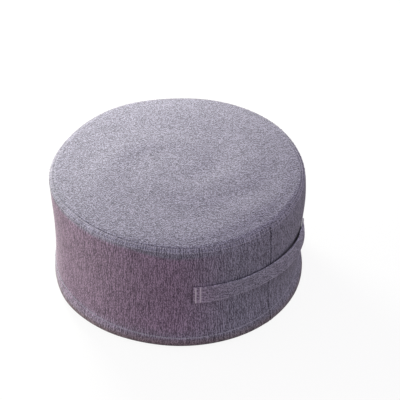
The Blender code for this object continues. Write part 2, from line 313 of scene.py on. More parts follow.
# Where the steps between stations change: start, step
SIDE_MARKS = ((0.0, 0.00055), (0.0115, 0.0012), (0.020, 0.0030),
              (HEM_STATION - 0.004, 0.00055), (HEM_STATION + 0.004, 0.0016))
TOP_MARKS = ((TOP_MIDDLE, 0.008), (-0.050, 0.004), (-0.018, 0.0016), (-0.006, 0.0006))
FILLING_MARKS = ((SWELL_HOLE - CROWN_REACH, SWELL_STEP), (0.0, SWELL_STEP), (HEM_STATION, SWELL_STEP))
TOP_BACK = (-GAP, -0.010, -0.050, -0.110, TOP_MIDDLE)  # stations of the top panel's underside
# Stations of the hidden rings below that underside
UNDER_TOP = (*(TOP_MIDDLE + radius for radius in BACKING_RADII), -TO_CROWN, 0.0)


def drawn_in(height):
    """How far the waist of the side is drawn in."""
    share = np.clip((height - PLAIN_FOOT) / (PLAIN_TOP - PLAIN_FOOT), 0.0, 1.0)
    return WAIST * np.sin(math.pi * share ** WAIST_LOW) ** 2


def section(station):
    """Radius and height of the cover's section at each station."""
    s = np.asarray(station, dtype=float)
    angle = math.radians(TOP_SEAM_ANGLE) - s / TOP_ROLL
    roll_r = CROWN_REACH + TOP_ROLL * np.cos(angle)
    roll_z = PLAIN_TOP + TOP_ROLL * np.sin(angle)
    crown_r = np.maximum(s - TOP_MIDDLE, 0.0)
    crown_z = RIM_HEIGHT + CROWN * (1.0 - (crown_r / CROWN_REACH) ** 3)
    side_z = PLAIN_TOP - (s - TO_RIM)
    side_r = RADIUS - drawn_in(side_z)
    turn = (s - TO_BASE_ROLL) / BASE_ROLL
    foot_r = RADIUS - BASE_ROLL + BASE_ROLL * np.cos(turn)
    foot_z = PLAIN_FOOT - BASE_ROLL * np.sin(turn)
    under_r = RADIUS - BASE_ROLL - (s - TO_BASE)
    stretches = [s < -TO_CROWN, s < TO_RIM, s < TO_BASE_ROLL, s < TO_BASE]
    return (np.select(stretches, [crown_r, roll_r, side_r, foot_r], under_r),
            np.select(stretches, [crown_z, roll_z, side_z, foot_z], BASE_LIFT))


def seam_wander(azimuth):
    """How far the top seam strays up the roll."""
    turn = np.radians(azimuth - SEAM_WANDER_ORIGIN)
    slipped = SEAM_SLIP_DEPTH * plateau(turn_between(azimuth, 0.0), *SEAM_SLIP)
    return -slipped - sum(size * np.sin(waves * turn) for size, waves in SEAM_WANDER)


def wandered(azimuth, station):
    """Where along the plain section a sewn point lies: seams and rows stray up and down."""
    near_rim = plateau(TOP_SEAM_ANGLE - np.degrees(station / TOP_ROLL), *RIM_STRAYS)
    below, above = HEM_STRAYS
    near_hem = plateau(section(station)[1], BASE_ROLL / 2.0, HEM_ROW - below,
                       HEM_ROW + above, STRAP_HEIGHT - STRAP_WIDTH)
    swing = np.cos(2.0 * np.radians(azimuth - HEM_LOW_AZIMUTH))
    return station - near_rim * seam_wander(azimuth) + HEM_WANDER * near_hem * swing


def side_lump(azimuth, height):
    share = height / RIM_HEIGHT
    lump = sum(size * np.sin(np.radians(waves * azimuth + phase)) * np.cos(2.0 * math.pi * up * share)
               for size, waves, phase, up in SIDE_LUMPS)
    for middle, across, level, tall, out in SIDE_BULGES:
        away = turn_between(azimuth, middle)
        lump = lump + out * np.exp(-(away / across) ** 2 - ((height - level) / tall) ** 2)
    return lump


def top_lump(x, y):
    fade = 1.0 - np.minimum(np.hypot(x, y) / CROWN_REACH, 1.0) ** 4
    return fade * sum(size * np.sin(2.0 * math.pi * (along_x * x + along_y * y) + math.radians(phase))
                      for size, along_x, along_y, phase in TOP_LUMPS)


def cover_point(azimuth, station, lift=0.0):
    """A point of the cover, lifted off it along its section's normal."""
    lift = lift + swell(azimuth, station)
    s = wandered(azimuth, station)
    radius, height = section(s)
    step, least = 0.0002, 1e-12
    run_r, run_z = np.subtract(section(s + step), section(s - step))
    run = np.hypot(run_r, run_z) + least
    edge_share = smoothstep(LUMPS_FROM, 1.0, radius / RADIUS) * np.where(s > TO_BASE, 0.0, 1.0)
    lump = side_lump(azimuth, np.minimum(height, RIM_HEIGHT)) * edge_share
    radius = radius + lump - lift * (run_z / run)
    height = height + lift * (run_r / run)
    turn = np.radians(azimuth)
    x = radius * np.sin(turn)
    y = -radius * np.cos(turn)
    z = height + np.where(s < TO_RIM, top_lump(x, y), 0.0)
    return np.stack([x, y, z], axis=-1)


# Filling the cover

def fill_cover():
    """Fills the sewn cover with Blender's Cloth and keeps how unevenly it swells.

    The seams, the hem's row and the strap's sewn ends hold the cloth back. The even part of
    the swelling is in the section already, so only what departs from each ring's mean is kept.
    """
    azimuths = CLOSING_SEAM + np.arange(SWELL_COLUMNS) * 360.0 / SWELL_COLUMNS
    stations = stations_between(FILLING_MARKS, TO_BASE)
    a, s = np.meshgrid(azimuths, stations)
    painted_light_and_shade = np.isclose(s, 0.0) | np.isclose(s, HEM_STATION) | np.isclose(s, TO_BASE) | under_strap_end(a, s)
    start = cover_point(a, s, np.where(painted_light_and_shade, 0.0, -SWELL_START))
    normal = cover_point(a, s, 1.0) - cover_point(a, s, 0.0)
    mesh = mended(grid_mesh("filling", start, round_uv(azimuths, stations)), fill=True)
    filling = placed("filling", mesh)
    seams = filling.vertex_groups.new(name="seams")
    seams.add(np.flatnonzero(painted_light_and_shade).tolist(), 1.0, "REPLACE")
    cloth = filling.modifiers.new("cloth", "CLOTH")
    cloth.point_cache.frame_start = 1
    cloth.point_cache.frame_end = SWELL_FRAMES
    settings = cloth.settings
    settings.vertex_group_mass = seams.name
    settings.use_pressure = True
    settings.uniform_pressure_force = SWELL_PRESSURE
    settings.effector_weights.gravity = 0.0
    for frame in range(1, SWELL_FRAMES + 1):
        bpy.context.scene.frame_set(frame)
    settled = filling.evaluated_get(bpy.context.evaluated_depsgraph_get()).data
    end = np.empty(start.size)
    settled.vertices.foreach_get("co", end)
    moved = ((end.reshape(start.shape) - start) * normal).sum(axis=-1)
    bpy.data.objects.remove(filling)
    bpy.data.meshes.remove(mesh)
    bpy.context.scene.frame_set(1)
    uneven = moved - moved.mean(axis=1, keepdims=True)
    for _ in range(SWELL_SMOOTHING):
        uneven = (np.roll(uneven, 1, axis=1) + 2.0 * uneven + np.roll(uneven, -1, axis=1)) / 4.0
        padded = np.pad(uneven, ((1, 1), (0, 0)), mode="edge")
        uneven = np.where(painted_light_and_shade, uneven, (padded[:-2] + 2.0 * uneven + padded[2:]) / 4.0)
    FILLED["stations"] = stations
    FILLED["lift"] = SWELL_CAP * np.tanh(uneven / SWELL_CAP)


def strap_length():
    return math.radians(STRAP_PATH[-1][0] - STRAP_PATH[0][0]) * RADIUS


def along_strap(azimuth):
    return np.radians(turn_between(azimuth, STRAP_PATH[0][0])) * RADIUS


def from_strap_end(along):
    """How far a place along the strap is from the nearer end."""
    return np.minimum(along, strap_length() - along)


def beside_strap(station):
    """How far a place is outside the strap's long edges; below 0 between them."""
    return np.abs(section(station)[1] - STRAP_HEIGHT) - STRAP_WIDTH / 2.0


def under_strap_end(azimuth, station):
    """Whether a place lies under one of the strap's sewn ends."""
    from_end = from_strap_end(along_strap(azimuth))
    level = (beside_strap(station) < 0.0) & (station > 0.0)
    return level & (from_end > 0.0) & (from_end < STRAP_END_ROWS[-1])


def cubic_weights(share):
    """Weights of four neighbours for a smooth curve through the middle two."""
    square, cube = share ** 2, share ** 3
    return ((-share + 2.0 * square - cube) / 2.0, (2.0 - 5.0 * square + 3.0 * cube) / 2.0,
            (share + 4.0 * square - 3.0 * cube) / 2.0, (cube - square) / 2.0)


def swell(azimuth, station):
    """How far the filling lifts the cover at a place, once it has been filled."""
    if not FILLED:
        return 0.0
    lift, stations = FILLED["lift"], FILLED["stations"]
    column = (azimuth - CLOSING_SEAM) % 360.0 * SWELL_COLUMNS / 360.0
    row = np.interp(station, stations, np.arange(len(stations)))
    first_column, first_row = np.floor(column).astype(int), np.floor(row).astype(int)
    total = 0.0
    for i, down in enumerate(cubic_weights(row - first_row), -1):
        at_row = np.clip(first_row + i, 0, len(stations) - 1)
        for j, across in enumerate(cubic_weights(column - first_column), -1):
            total = total + down * across * lift[at_row, (first_column + j) % SWELL_COLUMNS]
    return total * smoothstep(*SWELL_FADE, station - stations[0])


# Relief of the sewing, as a lift off the cover

def pucker(azimuth, along, kind):
    """Gentle irregular waves beside a row of stitches."""
    seed, waves, height, place, reach = kind
    rng = np.random.default_rng(seed)
    turn = np.radians(azimuth)
    total = 0.0
    for wave in waves:
        total = total + np.sin(wave * turn + rng.uniform(0.0, 2.0 * math.pi))
    return height * total / math.sqrt(len(waves)) * np.exp(-((along - place) / reach) ** 2)


def pull_of_stitches(azimuth, thread):
    """A row of stitches pulls hardest where each one enters the cloth."""
    turns = np.radians(azimuth - CLOSING_SEAM) * RADIUS / thread[2]
    return 1.0 - STITCH_PULL + STITCH_PULL * np.cos(2.0 * math.pi * turns)


def tightness(azimuth, slack=0.0):
    """1 where the top seam is drawn tight, down to a share of that where the rim is slack."""
    middle, loose, tight = SLACK_RIM
    return slack + (1.0 - slack) * smoothstep(loose, tight, np.abs(turn_between(azimuth, middle)))


def seam_relief(azimuth, station):
    return -SEAM_DEPTH * tightness(azimuth, SLACK_SEAM) * hollow(station, SEAM_HALF)


def rim_relief(azimuth, station):
    """The top seam's topstitched channels and the allowances under them."""
    held = tightness(azimuth, SLACK_STRIP)
    lift = RIM_ALLOWANCE * held * plateau(station, *RIM_STRIP)
    pulled = CHANNEL_DEPTH * held * pull_of_stitches(azimuth, RIM_THREAD)
    for row in TOPSTITCH_ROWS:
        lift = lift - pulled * hollow(station - row, CHANNEL_HALF)
    return lift + pucker(azimuth, station, RIM_PUCKER) * smoothstep(0.0, RIM_PUCKER_FADE, station)


def hem_relief(azimuth, from_hem):
    """The hem's channel, with the turned-up cloth standing proud below it."""
    lift = -CHANNEL_DEPTH * pull_of_stitches(azimuth, HEM_THREAD) * hollow(from_hem, CHANNEL_HALF)
    middle, full, gone = HEM_PROUD_FLANK
    flank = 1.0 - smoothstep(full, gone, np.abs(turn_between(azimuth, middle)))
    out = 0.0
    for (size, start, end), share in ((HEM_LIP, 1.0), (HEM_PROUD, flank), (HEM_FLARE, 1.0)):
        out = out + size * share * smoothstep(start, end, from_hem)
    lift = lift + out * (1.0 - smoothstep(*HEM_RETURN, from_hem))
    height, below, half = HEM_RIDGE
    return lift + height * hollow(from_hem - below, half) + pucker(azimuth, from_hem, HEM_PUCKER)


def closing_relief(azimuth, station):
    """The seam that closes the side into a ring: a narrow groove between two low swells."""
    across = np.radians(turn_between(azimuth, CLOSING_SEAM)) * RADIUS
    height, beside, half = CLOSING_SWELL
    relief = height * hollow(np.abs(across) - beside, half) - CLOSING_DEPTH * hollow(across, CLOSING_HALF)
    return relief * plateau(station, *CLOSING_START, TO_BASE - CLOSING_STOP, TO_BASE)


def strap_dents(azimuth, station):
    """The side is pulled in just beyond the strap's two sewn ends."""
    outside, inside = STRAP_DENT_EDGES
    level = 1.0 - smoothstep(-inside, outside, beside_strap(station))
    place, half = STRAP_DENT_AT
    along = along_strap(azimuth)
    dents = 0.0
    for depth, beyond in zip(STRAP_DENTS, (-along, along - strap_length())):
        dents = dents + depth * hollow(beyond - place, half)
    return -level * dents


def slack_corner(azimuth, shoulder, corner):
    """Where the rim is slack its shoulder sinks and its corner sharpens, by these shares."""
    return (1.0 - tightness(azimuth)) * (SLACK_CORNER * corner - SHOULDER_DROP * shoulder)


def side_relief(azimuth, station):
    shoulder, corner = (1.0 - smoothstep(0.0, reach, station) for reach in (SHOULDER_RETURN, CORNER_REACH))
    lift = seam_relief(azimuth, station) + slack_corner(azimuth, shoulder, corner)
    lift = lift + rim_relief(azimuth, station) + hem_relief(azimuth, station - HEM_STATION)
    return lift + closing_relief(azimuth, station) + strap_dents(azimuth, station)


def top_relief(azimuth, station):
    shoulder, corner = (np.clip(1.0 + station / reach, 0.0, 1.0) for reach in (SHOULDER_REACH, CORNER_REACH))
    lift = seam_relief(azimuth, station) + slack_corner(azimuth, shoulder ** 1.5, corner ** 2)
    return lift + pucker(azimuth, station, TOP_PUCKER)


# Meshes

def grid_mesh(name, points, uv, closed_round=True):
    """A mesh from rows of points that run round the drum; each row may shrink to a point."""
    rows, columns = points.shape[:2]
    cells = np.indices((rows - 1, columns if closed_round else columns - 1))
    row, column = cells.reshape(2, -1, 1)
    down, across = np.array(((0, 1, 1, 0), (0, 0, 1, 1)))
    faces = (row + down) * columns + (column + across) % columns
    mesh = bpy.data.meshes.new(name)
    mesh.from_pydata(points.reshape(-1, 3).tolist(), [], faces.tolist())
    mesh.uv_layers.new(name="cloth").data.foreach_set("uv", uv[row + down, column + across].reshape(-1))
    return mesh


def placed(name, data):
    """A new object in the scene."""
    made = bpy.data.objects.new(name, data)
    bpy.context.scene.collection.objects.link(made)
    return made


def new_piece(name, mesh, material):
    mesh.materials.append(material)
    mesh.shade_smooth()
    piece = placed(name, mesh)
    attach(piece, "root")
    return piece


def mended(mesh, weld=False, dissolve=False, fill=False):
    """Mends a mesh as asked, and turns every face outwards."""
    bm = bmesh.new()
    bm.from_mesh(mesh)
    if weld:
        bmesh.ops.remove_doubles(bm, verts=bm.verts, dist=SAME_PLACE)
    if dissolve:
        bmesh.ops.dissolve_degenerate(bm, edges=bm.edges, dist=NO_LENGTH)
    if fill:
        bmesh.ops.holes_fill(bm, edges=[edge for edge in bm.edges if edge.is_boundary])
    bmesh.ops.recalc_face_normals(bm, faces=bm.faces)
    bm.to_mesh(mesh)
    bm.free()
    return mesh


def panel_piece(name, rows, uv, material):
    """A closed piece of cloth from rows of points round it."""
    mesh = mended(grid_mesh(name, rows, uv), weld=True, dissolve=True)
    return new_piece(name, mesh, material)


def flat_uv(rows):
    """Texture places in metres as seen from above, with the first column again at the end."""
    flat = rows[:, :, :2]
    return np.concatenate([flat, flat[:, :1]], axis=1)


def stations_between(marks, stop):
    """Stations from marks of (start, step) pairs up to a stop."""
    found = []
    starts = [start for start, _ in marks] + [stop]
    for (start, step), after in zip(marks, starts[1:]):
        count = max(1, round((after - start) / step))
        found += [start + (after - start) * i / count for i in range(count)]
    return np.array(found + [stop])


def round_uv(azimuths, stations):
    """Texture places in metres: round the drum from the closing seam, and up the cloth."""
    along = np.radians(np.append(azimuths - azimuths[0], 360.0)) * RADIUS
    return np.stack(np.meshgrid(along, -stations), axis=-1)


def round_azimuths():
    """Columns round the drum from the closing seam on, gathered beside it and at the strap's ends."""
    even = np.arange(COLUMNS) * 360.0 / COLUMNS
    beside = np.degrees(np.array(SEAM_COLUMNS) / RADIUS)
    start, end = (STRAP_PATH[i][0] - CLOSING_SEAM for i in (0, -1))
    places = np.concatenate([even, beside, -beside, start - beside, end + beside]) % 360.0
    places = np.unique(np.round(places, 4))
    apart = np.diff(places, append=360.0) > math.degrees(NEAREST_COLUMNS / RADIUS)
    return CLOSING_SEAM + places[apart]


def side_piece(material):
    """The filled drum: side panel with its rolled edges and sewing, closed above and below."""
    azimuths = round_azimuths()
    a, s = np.meshgrid(azimuths, UNDER_TOP)
    top_rings = cover_point(a, s, -(CLOTH + GAP))
    stations = stations_between(SIDE_MARKS, TO_BASE_SEAM)
    a, s = np.meshgrid(azimuths, stations)
    points = cover_point(a, s, side_relief(a, s))
    floor_radii = (BASE_SEAM_RADIUS, BACKING_RADII[-1], 0.0)
    floor_rings = ring_points(azimuths, [(radius, CLOTH + GAP) for radius in floor_radii])
    rows = np.concatenate([top_rings, points, floor_rings])
    above, below = BACKING_V
    uv = round_uv(azimuths, np.concatenate([above, stations, TO_BASE_SEAM + np.array(below)]))
    piece = panel_piece("side_cloth", rows, uv, material)
    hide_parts("filled_body")
    return piece


def ring_points(azimuths, rings):
    """Level rings of points, each ring given by its radius and height."""
    radius, height = np.array(rings).T[:, :, None]
    a = np.radians(azimuths)
    return np.stack(np.broadcast_arrays(radius * np.sin(a), -radius * np.cos(a), height), axis=-1)


def top_piece(material):
    """The crowned top panel: a thin closed sheet whose rim turns down into the seam."""
    azimuths = CLOSING_SEAM + np.arange(COLUMNS) * 360.0 / COLUMNS
    a, s = np.meshgrid(azimuths, stations_between(TOP_MARKS, -GAP))
    upper = cover_point(a, s, top_relief(a, s))
    a, s = np.meshgrid(azimuths, TOP_BACK)
    rows = np.concatenate([upper, cover_point(a, s, -CLOTH)])
    piece = panel_piece("top_cloth", rows, flat_uv(rows) @ grain_turn(), material)
    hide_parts("top_panel")
    return piece


def grain_turn():
    """Turns the top panel's texture so that its warp runs towards the grain's azimuth."""
    turn = math.radians(GRAIN_AZIMUTH)
    return np.array(((math.cos(turn), -math.sin(turn)), (math.sin(turn), math.cos(turn))))


def base_piece(material):
    """The flat base panel that the pouf rests on."""
    azimuths = np.arange(BASE_COLUMNS) * 360.0 / BASE_COLUMNS
    rim = BASE_SEAM_RADIUS - GAP / 2.0
    edge = CLOTH / 4.0
    inner = BACKING_RADII[1]
    rings = ((0.0, CLOTH), (inner, CLOTH), (rim - edge, CLOTH), (rim, CLOTH - edge),
             (rim, edge), (rim - edge, 0.0), (inner, 0.0), (0.0, 0.0))
    rows = ring_points(azimuths, rings)
    piece = panel_piece("base_cloth", rows, flat_uv(rows), material)
    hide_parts("bottom_panel")
    return piece


# Strap

def stand_off(azimuth, rise):
    """How far the strap stands off the side, from 0 at its lower edge to 1 at its upper."""
    marks, upper, lower = np.array(STRAP_PATH).T
    at = np.clip(np.searchsorted(marks, azimuth, side="right") - 1, 0, len(marks) - 2)
    before, after = (lower[i] + (upper[i] - lower[i]) * rise for i in (at, at + 1))
    return before + (after - before) * smoothstep(marks[at], marks[at + 1], azimuth)


def strap_bow(azimuth, across):
    """Near its far end the strap's middle stands further off than its edges."""
    return 4.0 * STRAP_BOW_DEPTH * plateau(azimuth, *STRAP_BOW) * across * (1.0 - across)


def strap_point(azimuth, across, out):
    """A point of the strap: across from 0 at its lower edge to 1 at its upper, out from its back."""
    rise = LOOP_RISE * stand_off(azimuth, 1.0)
    height = STRAP_HEIGHT + (across - 0.5) * STRAP_WIDTH + rise
    radius = RADIUS - drawn_in(height) + side_lump(azimuth, height)
    radius = radius + swell(azimuth, TO_RIM + PLAIN_TOP - height)
    level = np.clip(across, 0.0, 1.0)
    radius = radius + STRAP_SEAT + stand_off(azimuth, level) + strap_bow(azimuth, level) + out
    turn = np.radians(azimuth)
    return np.stack([radius * np.sin(turn), -radius * np.cos(turn), height], axis=-1)


def strap_squeeze(along):
    """Share of the strap's thickness left: its stitched ends are pressed flat."""
    inner = STRAP_END_ROWS[-1]
    loose = smoothstep(inner, STRAP_PRESS_FADE * inner, from_strap_end(along))
    return 1.0 - STRAP_PRESSED * (1.0 - loose)


def strap_section():
    """Points round the strap's section: places across it, and 1 on its face to -1 on its back."""
    on_face, on_back, on_edge = STRAP_POINTS
    flat = 1.0 - STRAP_THICK / STRAP_WIDTH
    across, side = [], []
    for points, facing in ((on_face, 1.0), (on_back, -1.0)):
        across.append(0.5 + facing * flat * np.linspace(-0.5, 0.5, points))
        side.append(np.full(points, facing))
        turn = math.pi * (facing / 2.0 - np.arange(1, on_edge + 1) / (on_edge + 1))
        across.append(0.5 + facing * flat / 2.0 + STRAP_THICK / 2.0 * np.cos(turn) / STRAP_WIDTH)
        side.append(np.sin(turn))
    return np.concatenate(across), np.concatenate(side)


def strap_piece(material):
    """The folded strap as one closed strip with rounded edges and stitched-down ends."""
    half = STRAP_THICK / 2.0
    length = strap_length()
    corner = np.linspace(0.0, STRAP_CORNER, STRAP_CORNER_POINTS)
    columns = int((length - 2.0 * STRAP_CORNER) / STRAP_STEP)
    middle = np.linspace(STRAP_CORNER, length - STRAP_CORNER, columns)[1:-1]
    along = np.concatenate([corner, middle, length - corner[::-1]])
    from_end = from_strap_end(along)
    to_round = STRAP_CORNER - np.minimum(from_end, STRAP_CORNER)
    inset = STRAP_CORNER - np.sqrt(STRAP_CORNER ** 2 - to_round ** 2)
    rounding = np.sqrt(np.clip(1.0 - (1.0 - np.minimum(from_end / half, 1.0)) ** 2, 0.0, 1.0))
    across, side = strap_section()
    a, u = np.meshgrid(STRAP_PATH[0][0] + np.degrees(along / RADIUS), across)
    facing = side[:, None]
    u = 0.5 + (u - 0.5) * (1.0 - 2.0 * inset / STRAP_WIDTH)
    out = half * (1.0 + facing * np.maximum(rounding, STRAP_THINNEST)) * strap_squeeze(along)
    out = out + np.where(facing == 1.0, strap_relief(along, u), 0.0)
    points = strap_point(a, u, out)
    points = np.concatenate([points, points[:1]])
    steps = np.hypot(np.diff(across) * STRAP_WIDTH, np.diff(side) * half)
    around = np.concatenate([[0.0], np.cumsum(steps), [steps.sum() + 0.001]])
    uv = np.stack(np.meshgrid(along, around), axis=-1)
    mesh = mended(grid_mesh("strap_cloth", points, uv, closed_round=False), weld=True, fill=True)
    piece = new_piece("strap_cloth", mesh, material)
    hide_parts("handle_strap")
    return piece


def strap_relief(along, across):
    """Channels of the rows of stitches on the strap's face."""
    from_end = from_strap_end(along)
    from_edge = STRAP_WIDTH * np.minimum(across, 1.0 - across)
    depth, half, fade = EDGE_CHANNEL
    lift = -depth * smoothstep(0.0, fade, from_end) * hollow(from_edge - STRAP_EDGE_ROW, half)
    depth, half, fade = END_CHANNEL
    for row in STRAP_END_ROWS:
        lift = lift - depth * smoothstep(0.0, fade, from_edge) * hollow(from_end - row, half)
    return lift


# Stitches

def round_row(station, thread):
    """Where a row of stitches lies at so far round the drum."""
    def point(middle, offset):
        azimuth = CLOSING_SEAM + np.degrees((middle + offset) / RADIUS)
        return cover_point(azimuth, station, side_relief(azimuth, station) + ROW_LIFT * thread[0])
    return point


def stitch_run(point, length, thread):
    """Points of every stitch in a row; each dips into the cloth at both its ends.

    point takes how far along the row a stitch has its middle, and offsets from there along it.
    """
    radius, stitch, pitch = thread
    count = round(length / pitch)
    share = np.linspace(-0.5, 0.5, THREAD_POINTS)
    dips = -THREAD_DIP * radius * (2.0 * np.abs(share)) ** 4
    return [(point((i + 0.5) * length / count, share * stitch), dips, radius) for i in range(count)]


def unit(vectors):
    return vectors / np.linalg.norm(vectors, axis=1)[:, None]


def thread_mesh(name, runs):
    """One joined mesh of short threads, each a tube tapered at its two ends."""
    turn = np.arange(THREAD_SIDES)[:, None] * 2.0 * math.pi / THREAD_SIDES
    taper = np.sqrt(1.0 - np.linspace(-THREAD_TAPER, THREAD_TAPER, THREAD_POINTS) ** 4)
    verts, faces = [], []
    for points, dips, radius in runs:
        normals = away_from_roll(points)
        path = points + normals * dips[:, None]
        along = unit(np.gradient(path, axis=0))
        across = unit(np.cross(along, normals))
        up = np.cross(across, along)
        rings = len(verts) + np.arange(THREAD_POINTS * THREAD_SIDES).reshape(-1, THREAD_SIDES)
        for middle, side, top, size in zip(path, across, up, radius * taper):
            verts += (middle + size * (np.cos(turn) * side + np.sin(turn) * top)).tolist()
        for ring, after in zip(rings, rings[1:]):
            faces += np.stack([ring, np.roll(ring, -1), np.roll(after, -1), after], axis=1).tolist()
        faces += [rings[0][::-1].tolist(), rings[-1].tolist()]
    mesh = bpy.data.meshes.new(name)
    mesh.from_pydata(verts, [], faces)
    return mended(mesh)


def away_from_roll(points):
    """Outward directions on the side and the rolled edges."""
    x, y, z = points.T
    inward = CROWN_REACH / np.hypot(x, y)
    core_z = np.clip(z, PLAIN_FOOT, PLAIN_TOP)
    return unit(points - np.stack([x * inward, y * inward, core_z], axis=-1))


def sewing():
    """Every row of stitches, as a piece of its own."""
    fine, stout, dull = (thread_material(*kind) for kind in THREADS)
    rows = [("stitches_rim_%d" % i, row, RIM_THREAD, fine) for i, row in enumerate(TOPSTITCH_ROWS)]
    for name, station, thread, material in (*rows, ("stitches_hem", HEM_STATION, HEM_THREAD, dull)):
        run = stitch_run(round_row(station, thread), 2.0 * math.pi * RADIUS, thread)
        new_piece(name, thread_mesh(name, run), material)
    edges, tacks = strap_runs()
    new_piece("stitches_strap", thread_mesh("stitches_strap", edges), fine)
    new_piece("tacks_strap", thread_mesh("tacks_strap", tacks), stout)


def strap_runs():
    """Stitches along the strap's two long edges, and the close tacks across its two ends."""
    length = strap_length()
    margin = STRAP_END_ROWS[-1] + STRAP_ROW_MARGIN

    def on_strap(along, across):
        azimuth = STRAP_PATH[0][0] + np.degrees(along / RADIUS)
        face = STRAP_THICK * strap_squeeze(along)
        return strap_point(azimuth, across / STRAP_WIDTH, face + STRAP_ROW_LIFT * STRAP_THREAD[0])

    edges, tacks = [], []
    for row in (STRAP_EDGE_ROW, STRAP_WIDTH - STRAP_EDGE_ROW):
        def along_edge(middle, offset, row=row):
            return on_strap(margin + middle + offset, row)
        edges += stitch_run(along_edge, length - 2.0 * margin, STRAP_THREAD)
    for place in (*STRAP_END_ROWS, *(length - row for row in STRAP_END_ROWS)):
        def across_end(middle, offset, place=place):
            return on_strap(place + offset, STRAP_EDGE_ROW / 2.0 + middle)
        tacks += stitch_run(across_end, STRAP_WIDTH - STRAP_EDGE_ROW, TACK_THREAD)
    return edges, tacks


# Materials

def feed(made, feeds):
    """Gives a node's sockets numbers or colours, or links them to other nodes' outputs."""
    for socket, value in feeds:
        if isinstance(value, bpy.types.NodeSocket):
            made.id_data.links.new(value, made.inputs[socket])
        else:
            made.inputs[socket].default_value = value


def node(tree, kind, feeds=(), **settings):
    made = tree.nodes.new("ShaderNode" + kind)
    for name, value in settings.items():
        setattr(made, name, value)
    feed(made, feeds)
    return made


def maths(tree, operation, *inputs, clamp=False):
    """A Math node; each input is a number or another node's output."""
    return node(tree, "Math", enumerate(inputs), operation=operation, use_clamp=clamp).outputs[0]


def remapped(tree, value, low, high, to_low=0.0, to_high=1.0, kind="SMOOTHSTEP"):
    """A Map Range node from low and high to two other numbers."""
    inputs = enumerate((value, low, high, to_low, to_high))
    return node(tree, "MapRange", inputs, interpolation_type=kind).outputs[0]


def blended(tree, share, first, second, how="MIX"):
    """A Mix node of two colours, each a colour or another node's output."""
    inputs = ((0, share), (6, first), (7, second))
    return node(tree, "Mix", inputs, data_type="RGBA", blend_type=how).outputs[2]


def ramped(tree, value, shades):
    """A Color Ramp node with its shades evenly apart."""
    ramp = node(tree, "ValToRGB", [("Fac", value)])
    for i in range(1, len(shades) - 1):
        ramp.color_ramp.elements.new(i / (len(shades) - 1))
    for stop, shade in zip(ramp.color_ramp.elements, shades):
        stop.color = (*shade, 1.0)
    return ramp.outputs["Color"]


def apart(tree, kind, output, **settings):
    """The three parts of a place that an input node gives."""
    place = node(tree, kind, **settings).outputs[output]
    return node(tree, "SeparateXYZ", [(0, place)]).outputs


def texture_at(tree, kind, x, y, output, *feeds):
    """A 2-D texture, read at a place given by two node outputs."""
    place = node(tree, "CombineXYZ", enumerate((x, y))).outputs[0]
    return node(tree, kind, (("Vector", place), *feeds), noise_dimensions="2D").outputs[output]


def new_material(name, finish):
    """A material with its shader set as the finish says."""
    material = bpy.data.materials.new(name)
    material.use_nodes = True
    shader = material.node_tree.nodes["Principled BSDF"]
    feed(shader, finish.items())
    return material, material.node_tree, shader


def patches(tree, u, v):
    """Soft patches of tone between 0 and 1, some centimetres across."""
    x = maths(tree, "MULTIPLY_ADD", u, BLOTCHES[0], BLOTCH_ORIGIN[0])
    y = maths(tree, "MULTIPLY_ADD", v, BLOTCHES[1], BLOTCH_ORIGIN[1])
    return texture_at(tree, "TexNoise", x, y, "Fac", ("Scale", 1.0), ("Detail", 2.0))


def white_at(tree, x, y):
    """An even random number between 0 and 1 for each pair of whole numbers."""
    return texture_at(tree, "TexWhiteNoise", x, y, "Value")


def yarns(tree, across, along, seed, pitch, slub, long_slub, long_share):
    """Parallel yarns with pale and dark slubs along them, each yarn apart from its neighbour."""
    number = maths(tree, "FLOOR", maths(tree, "DIVIDE", across, pitch))
    tone = 0.0
    for length, share in ((slub, 1.0 - long_share), (long_slub, long_share)):
        for neighbour, sign in ((0.0, 1.0), (1.0, -NEIGHBOUR_CONTRAST)):
            yarn = maths(tree, "ADD", number, seed + neighbour)
            start = maths(tree, "MULTIPLY", white_at(tree, yarn, yarn), SLUB_STAGGER)
            cell = maths(tree, "FLOOR", maths(tree, "MULTIPLY_ADD", along, 1.0 / length, start))
            swing = maths(tree, "SUBTRACT", white_at(tree, yarn, cell), 0.5)
            tone = maths(tree, "MULTIPLY_ADD", swing, sign * share, tone)
    return tone


def around_and_up(tree):
    """A point's azimuth from -270 to 90 degrees, and its height."""
    x, y, height = apart(tree, "TexCoord", "Object")
    azimuth = maths(tree, "DEGREES", maths(tree, "ARCTAN2", x, maths(tree, "MULTIPLY", y, -1.0)))
    behind = maths(tree, "GREATER_THAN", azimuth, 90.0)
    return maths(tree, "MULTIPLY_ADD", behind, -360.0, azimuth), height


def between(tree, value, start, full, still, gone):
    """1 from full to still, fading to 0 at start and at gone."""
    rising = remapped(tree, value, start, full)
    return maths(tree, "MULTIPLY", rising, remapped(tree, value, still, gone, 1.0, 0.0))


def painted_plum_light_share(tree):
    """Where a plum tint of the light is painted into the side's colour: on one flank, fading towards the rim
    and the hem.
    """
    azimuth, height = around_and_up(tree)
    start, end, sink = PLUM_SINKS
    sunk = maths(tree, "ADD", height, remapped(tree, azimuth, start, end, 0.0, sink))
    low, high, least = PLUM_HEM
    share = between(tree, azimuth, *PLUM_AZIMUTHS)
    for fade in (remapped(tree, sunk, *PLUM_HEIGHTS, 1.0, 0.0), remapped(tree, height, low, high, least)):
        share = maths(tree, "MULTIPLY", share, fade)
    return share


def painted_flank_light(tree, azimuths, heights, paler):
    """Painted light: how much paler a doubled edge is made on the one flank that the lamps light most."""
    azimuth, height = around_and_up(tree)
    lit_flank = maths(tree, "MULTIPLY", between(tree, azimuth, *azimuths), between(tree, height, *heights))
    return maths(tree, "MULTIPLY_ADD", lit_flank, paler - 1.0, 1.0)


